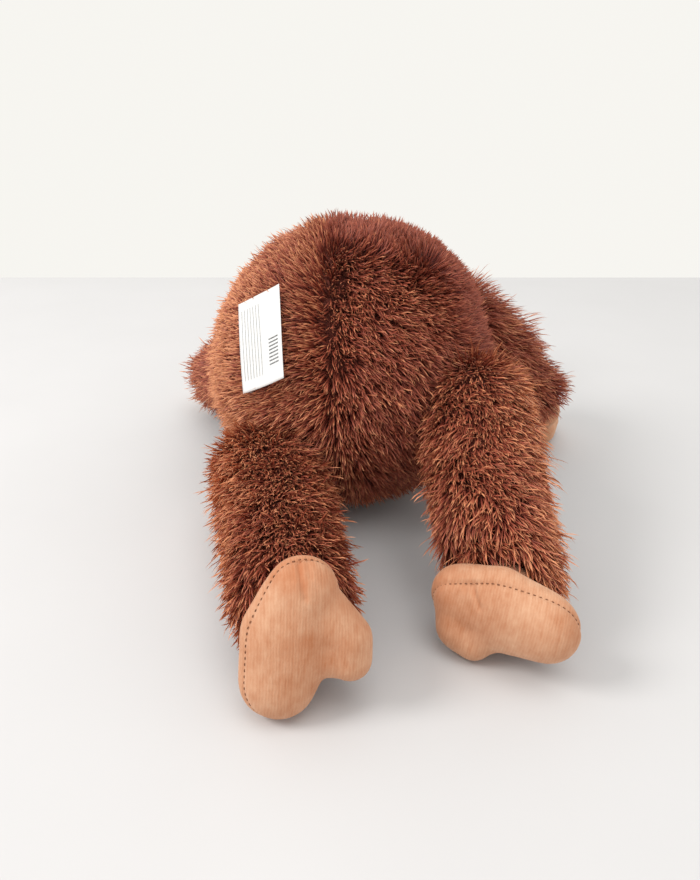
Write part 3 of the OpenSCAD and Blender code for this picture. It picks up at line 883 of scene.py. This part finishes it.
def foot(s):
    """Sole and upper of one foot, with the seam's groove, the heel's fold and the stitches."""
    at = pivot(f"ankle_{s}")
    rot = turn("Z", FOOT_YAW[s]) @ turn("X", FOOT_LEAN[s]) @ turn("Y", FOOT_TURN[s]) @ np.diag([WAY[s], 1, 1])
    mat = velour_material(f"velour_foot_{s}", STRIPES[s])

    def local(p):
        return (p - at) @ rot / MM

    def depth(q):
        return q @ SEAM_UP[s]

    def dart_of(q):
        """A short gathered fold from the heel's seam down the sole."""
        top, end = DART[s]
        run = end - top
        flat = q[:, [0, 2]]
        total = np.zeros(len(q))
        for shift, share, reach in ((0.0, 1.0, 1.0), (3.2, 0.45, 0.45), (-3.0, 0.35, 0.4)):
            a = top + unit(np.array([run[1], -run[0]])) * shift
            t = np.clip((flat - a) @ run / (run @ run), -0.4, reach)
            gap = np.linalg.norm(flat - a - t[:, None] * run, axis=1)
            total += share * np.exp(-(gap / 1.15) ** 2) * (1 - 0.6 * np.clip(t, 0, 1))
        return total * smoothstep(depth(q), SEAM_AT - 2, SEAM_AT + 1)

    def foot_tone_and_crease_shade(p):
        q = local(p)
        heel = smoothstep(q[:, 2], 2, 30) * 0.35
        # Deeper tone towards the heel and in the gathered fold; the fold's deeper colour is painted shade in
        # the crease.
        return heel + 0.22 * waves(q, 30, 5) * smoothstep(q[:, 2], -35, 10) + 0.04 + 0.5 * dart_of(q)

    def foot_pull(p, nn):
        q = local(p)
        groove = np.exp(-((depth(q) - SEAM_AT) / 1.2) ** 2)
        puff = 0.35 * waves(q, 26, 11) * smoothstep(q[:, 2], -30, 0)
        return nn * ((-0.9 * groove - 1.7 * dart_of(q) + puff) * MM)[:, None]

    whole = skins[f"foot_{s}"]
    sole = split(whole, f"foot_sole_{s}_skin", lambda m: depth(local(m)) >= SEAM_AT, mat)
    upper = split(whole, f"foot_upper_{s}_skin", lambda m: depth(local(m)) < SEAM_AT, mat)
    for o in (sole, upper):
        pull(o, foot_pull, foot_tone_and_crease_shade)
        rounded(o)
    dress(sole, f"foot_{s}", [f"foot_sole_{s}"])
    dress(upper, f"foot_{s}", [f"foot_upper_{s}", f"foot_filling_{s}"])
    seam_normal = rot @ SEAM_UP[s]
    seam_stitches(f"foot_stitches_{s}", f"foot_{s}", whole, at + seam_normal * SEAM_AT * MM,
                  seam_normal, 0.62 * MM, TREES[f"foot_{s}"])


def hand_pull(p, nn):
    groove = np.exp(-((p[:, 2] - HAND_SEAM) / (1.2 * MM)) ** 2)
    puff = 0.3 * waves(p, 0.026, 12) * smoothstep(p[:, 2], 0.004, 0.012)
    return nn * ((-0.8 * groove + puff) * MM)[:, None]


def hand(s):
    """Palm and back of one hand, which meet in a level seam."""
    mat = velour_material(f"velour_hand_{s}", (1, 0.1, 0))
    whole = skins[f"hand_{s}"]
    palm = split(whole, f"hand_palm_{s}_skin", lambda m: m[:, 2] < HAND_SEAM, mat)
    back = split(whole, f"hand_back_{s}_skin", lambda m: m[:, 2] >= HAND_SEAM, mat)
    for o in (palm, back):
        pull(o, hand_pull, lambda p: 0.1 + 0.15 * waves(p, 0.03, 6))
        rounded(o)
    dress(palm, f"hand_{s}", [f"hand_palm_{s}"])
    dress(back, f"hand_{s}", [f"hand_back_{s}", f"hand_filling_{s}"])


for s in SIDES:
    foot(s)
    hand(s)


# ---------------------------------------------------------------- head

def on_head_left(p):
    return ~on_face(p) & (in_head(p)[:, 0] >= 0)


def on_head_right(p):
    return ~on_face(p) & (in_head(p)[:, 0] < 0)


def head_length(p):
    """Short pile round the face."""
    return 0.45 + 0.55 * smoothstep(away_from_face(p), 0, 14)


dress(split(skins["head"], "head_panel_left_skin", on_head_left, BACKING),
      "head", ["head_panel_left", "head_filling"])
dress(split(skins["head"], "head_panel_right_skin", on_head_right, BACKING),
      "head", ["head_panel_right"])


def on_muzzle(m):
    return np.linalg.norm(in_head(m) - MUZZLE_AT, axis=1) < 28.5


FACE_CLOTH = velour_material("velour_face", (1, 0, 0))
face = split(skins["head"], "face_skin", lambda m: on_face(m) & ~on_muzzle(m), FACE_CLOTH)
muzzle = split(skins["head"], "muzzle_skin", lambda m: on_face(m) & on_muzzle(m), FACE_CLOTH)


def face_pull(p, nn):
    q = in_head(p)
    d = np.zeros(len(p))
    for s in SIDES:
        eye = in_head(middle(f"eye_{s}")[None])[0]
        d -= 1.6 * np.exp(-np.sum((q - eye) ** 2, axis=1) / 11 ** 2)
    ring = np.linalg.norm(q - MUZZLE_AT, axis=1)
    d -= 0.9 * np.exp(-((ring - 28.3) / 1.6) ** 2)
    chin = np.exp(-(q[:, 0] / 1.6) ** 2) * smoothstep(-q[:, 2], 10, 16) * (q[:, 1] < -60)
    d -= 0.8 * chin
    return nn * (d * MM)[:, None]


for o in (face, muzzle):
    pull(o, face_pull, lambda p: 0.06 + 0.1 * waves(p, 0.03, 8))
    rounded(o)
dress(face, "head", ["face_panel"])
dress(muzzle, "head", ["muzzle_panel", "muzzle_filling"])
grow("pile_head_left", skins["head"], "head", head_comb, *HEAD_PILE, 500,
     keep=on_head_left, near=NEAR["head"], trim=head_length)
grow("pile_head_right", skins["head"], "head", head_comb, *HEAD_PILE, 520,
     keep=on_head_right, near=NEAR["head"], trim=head_length)

EAR_CLOTH = velour_material("velour_ear", (0, 0, 1))
for i, s in enumerate(SIDES):
    front = split(skins[f"ear_{s}"], f"ear_front_{s}_skin", lambda m: in_head(m)[:, 1] < 0, EAR_CLOTH)
    back = split(skins[f"ear_{s}"], f"ear_back_{s}_skin", lambda m: in_head(m)[:, 1] >= 0, BACKING)
    hub = in_head(middle(f"ear_front_{s}")[None])[0]

    def cup(p, nn, hub=hub):
        q = in_head(p)
        r = np.hypot(q[:, 0] - hub[0], q[:, 2] - hub[2])
        dip = smoothstep(13 - r, 0, 9) * (q[:, 1] < 0)
        return nn * (-2.6 * dip * MM)[:, None]

    pull(front, cup, lambda p: 0.1 + 0.1 * waves(p, 0.02, 9))
    rounded(front)
    dress(front, f"ear_{s}", [f"ear_front_{s}"])
    dress(back, f"ear_{s}", [f"ear_back_{s}"])

    def ear_comb(p, normals, hub=hub, s=s):
        q = in_head(p)
        v = unit(q - np.array([hub[0] - WAY[s] * 14, hub[1], hub[2]])) + np.array([0, 0.15, 0])
        return tangent(v @ HEAD_TURN.T, normals)

    grow(f"pile_ear_{s}", skins[f"ear_{s}"], f"ear_{s}", ear_comb, *EAR_PILE, 540 + 10 * i,
         keep=lambda p: in_head(p)[:, 1] > -1.2)

for n in ("eye_left", "eye_right"):
    NODES[n].data.materials.clear()
    NODES[n].data.materials.append(EYE)
NODES["nose"].data.materials.clear()
NODES["nose"].data.materials.append(NOSE)
WASHER = plastic_material("washer_plastic", (0.80, 0.80, 0.77), 0.5, 0.0)
for n in NODES:
    if "washer" in n or "seam" in n or "stitch" in n:
        NODES[n].data.materials.clear()
        NODES[n].data.materials.append(WASHER if "washer" in n else THREAD)
        NODES[n].data.shade_smooth()


# ---------------------------------------------------------------- care label

def satin_material():
    """White ribbon with a plain printed pattern: long rules on the left, even bars on the right."""
    mat, nodes, links, bsdf = new_material("label_satin")
    uv = nodes.new("ShaderNodeUVMap")
    uv.uv_map = "UVMap"
    sep = nodes.new("ShaderNodeSeparateXYZ")
    links.new(uv.outputs[0], sep.inputs[0])
    u, v = sep.outputs[0], sep.outputs[1]

    def between(x, a, b):
        return math_node(nodes, links, "MULTIPLY", math_node(nodes, links, "GREATER_THAN", x, a),
                         math_node(nodes, links, "LESS_THAN", x, b))

    def stripes(x, count, duty):
        saw = math_node(nodes, links, "FRACT", math_node(nodes, links, "MULTIPLY", x, count))
        return math_node(nodes, links, "LESS_THAN", saw, duty)

    tc = nodes.new("ShaderNodeTexCoord")
    wear = noise(nodes, links, tc.outputs["Object"], 900, 2.0)
    rules = math_node(nodes, links, "MULTIPLY", stripes(u, 15, 0.34), between(u, 0.06, 0.53))
    rules = math_node(nodes, links, "MULTIPLY", rules, between(v, 0.12, 0.90))
    rules = math_node(nodes, links, "MULTIPLY", rules, 0.55)
    bars = math_node(nodes, links, "MULTIPLY", stripes(v, 26, 0.45), between(v, 0.17, 0.50))
    bars = math_node(nodes, links, "MULTIPLY", bars, between(u, 0.66, 0.90))
    ink = math_node(nodes, links, "MAXIMUM", rules, bars)
    worn = math_node(nodes, links, "ADD", wear.outputs["Fac"], 0.35)
    ink = math_node(nodes, links, "MULTIPLY", ink, worn, clamp=True)
    col = mix_colour(nodes, links, "MIX", ink, (0.74, 0.745, 0.75), (0.05, 0.055, 0.06))
    links.new(col, bsdf.inputs["Base Color"])
    bsdf.inputs["Roughness"].default_value = 0.38
    bsdf.inputs["Sheen Weight"].default_value = 0.2
    weave = nodes.new("ShaderNodeTexWave")
    weave.inputs["Scale"].default_value = 1400
    links.new(tc.outputs["Object"], weave.inputs["Vector"])
    bump = nodes.new("ShaderNodeBump")
    bump.inputs["Strength"].default_value = 0.15
    bump.inputs["Distance"].default_value = 0.0001
    links.new(weave.outputs["Fac"], bump.inputs["Height"])
    links.new(bump.outputs[0], bsdf.inputs["Normal"])
    return mat


cols, rows = 24, 34
verts, faces, uvs = [], [], []
for face_side in (0, 1):
    for j in range(rows + 1):
        for i in range(cols + 1):
            a, b = i / cols, j / rows
            curl = 2.6 * a ** 2 + 0.5 * math.sin(a * 5 + b * 3) * a
            lift = (curl + 1.2 * math.sin(b * math.pi) * (1 - a) ** 2) * MM
            bow = (0.7 * math.sin(b * math.pi) * (1 - a)) * MM
            pt = LABEL_EDGE + LABEL_ACROSS * (a * LABEL_W * 0.995 + bow)
            pt = pt + LABEL_DOWN * ((b - 0.5) * LABEL_H) + LABEL_OUT * (lift + face_side * LABEL_T)
            verts.append(pt)
            uvs.append((a, 1 - b))
count = (cols + 1) * (rows + 1)
for j in range(rows):
    for i in range(cols):
        k = j * (cols + 1) + i
        faces.append((k, k + cols + 1, k + cols + 2, k + 1))
        faces.append((k + count, k + count + 1, k + count + cols + 2, k + count + cols + 1))
rim = [j * (cols + 1) for j in range(rows + 1)] + [rows * (cols + 1) + i for i in range(1, cols + 1)]
rim += [j * (cols + 1) + cols for j in range(rows - 1, -1, -1)] + list(range(cols - 1, 0, -1))
for k, v in enumerate(rim):
    w = rim[(k + 1) % len(rim)]
    faces.append((v, v + count, w + count, w))
label = mesh_object("care_label_cloth", verts, faces, satin_material())
bm = bmesh.new()
bm.from_mesh(label.data)
bmesh.ops.recalc_face_normals(bm, faces=bm.faces)
bm.to_mesh(label.data)
bm.free()
layer = label.data.uv_layers.new(name="UVMap")
for loop in label.data.loops:
    layer.data[loop.index].uv = uvs[loop.vertex_index]
dress(label, "label", ["care_label"])
NODES["label_tab"].data.materials.clear()
NODES["label_tab"].data.materials.append(label.data.materials[0])


# ---------------------------------------------------------------- stage, light and camera

def stage_material(name, colour, rough):
    mat, nodes, links, bsdf = new_material(name)
    tc = nodes.new("ShaderNodeTexCoord")
    n = noise(nodes, links, tc.outputs["Object"], 5, 4.0)
    col = ramp(nodes, [(0.3, tuple(c * 0.965 for c in colour)), (0.7, colour)])
    links.new(n.outputs["Fac"], col.inputs[0])
    links.new(col.outputs[0], bsdf.inputs["Base Color"])
    bsdf.inputs["Roughness"].default_value = rough
    return mat


FAR_EDGE = -0.6316
bm = bmesh.new()
bmesh.ops.create_cube(bm, size=1, matrix=Matrix.Translation((0, (FAR_EDGE + 4.0) / 2, -0.1)) @
                      Matrix.Diagonal((8, 4.0 - FAR_EDGE, 0.2, 1)))
edges = [e for e in bm.edges if all(v.co.z > -0.01 for v in e.verts)]
bmesh.ops.bevel(bm, geom=edges, offset=0.02, segments=6, profile=0.5, affect="EDGES")
mesh = bpy.data.meshes.new("bed")
bm.to_mesh(mesh)
bm.free()
mesh.shade_smooth()
bed = bpy.data.objects.new("bed", mesh)
bpy.context.scene.collection.objects.link(bed)
mesh.materials.append(stage_material("bed_cloth", (0.615, 0.615, 0.630), 0.9))

world = bpy.data.worlds.new("studio")
bpy.context.scene.world = world
world.use_nodes = True
background = world.node_tree.nodes["Background"]
background.inputs["Color"].default_value = (1.0, 0.985, 0.94, 1)
background.inputs["Strength"].default_value = 0.93


def area_light(name, at, aim, size, power, colour):
    light = bpy.data.lights.new(name, "AREA")
    light.shape = "DISK"
    light.size = size
    light.energy = power
    light.color = colour
    obj = bpy.data.objects.new(name, light)
    obj.location = at
    obj.rotation_euler = (Vector(aim) - Vector(at)).to_track_quat("-Z", "Y").to_euler()
    bpy.context.scene.collection.objects.link(obj)


area_light("window", (1.6, 0.5, 1.5), (0, 0, 0.05), 0.9, 26, (1.0, 0.97, 0.93))
area_light("ceiling", (-0.3, 0.6, 2.2), (0, 0, 0), 1.6, 14, (1.0, 0.98, 0.95))

# The focal length is this share of the picture's longer side; the camera looks down by CAMERA_DIP degrees.
SENSOR = 36
FOCAL_SHARE = 700 / 880
CAMERA_DIP = 25
CAMERA_AT = (0.0171, 0.42238, 0.219)
camera_data = bpy.data.cameras.new("camera")
camera_data.sensor_width = SENSOR
camera_data.lens = FOCAL_SHARE * SENSOR
camera_data.clip_start = 0.01
camera = bpy.data.objects.new("camera", camera_data)
camera.location = CAMERA_AT
camera.rotation_euler = (math.radians(90 - CAMERA_DIP), 0, math.radians(180))
bpy.context.scene.collection.objects.link(camera)
bpy.context.scene.camera = camera
bpy.context.scene.view_settings.view_transform = "Standard"
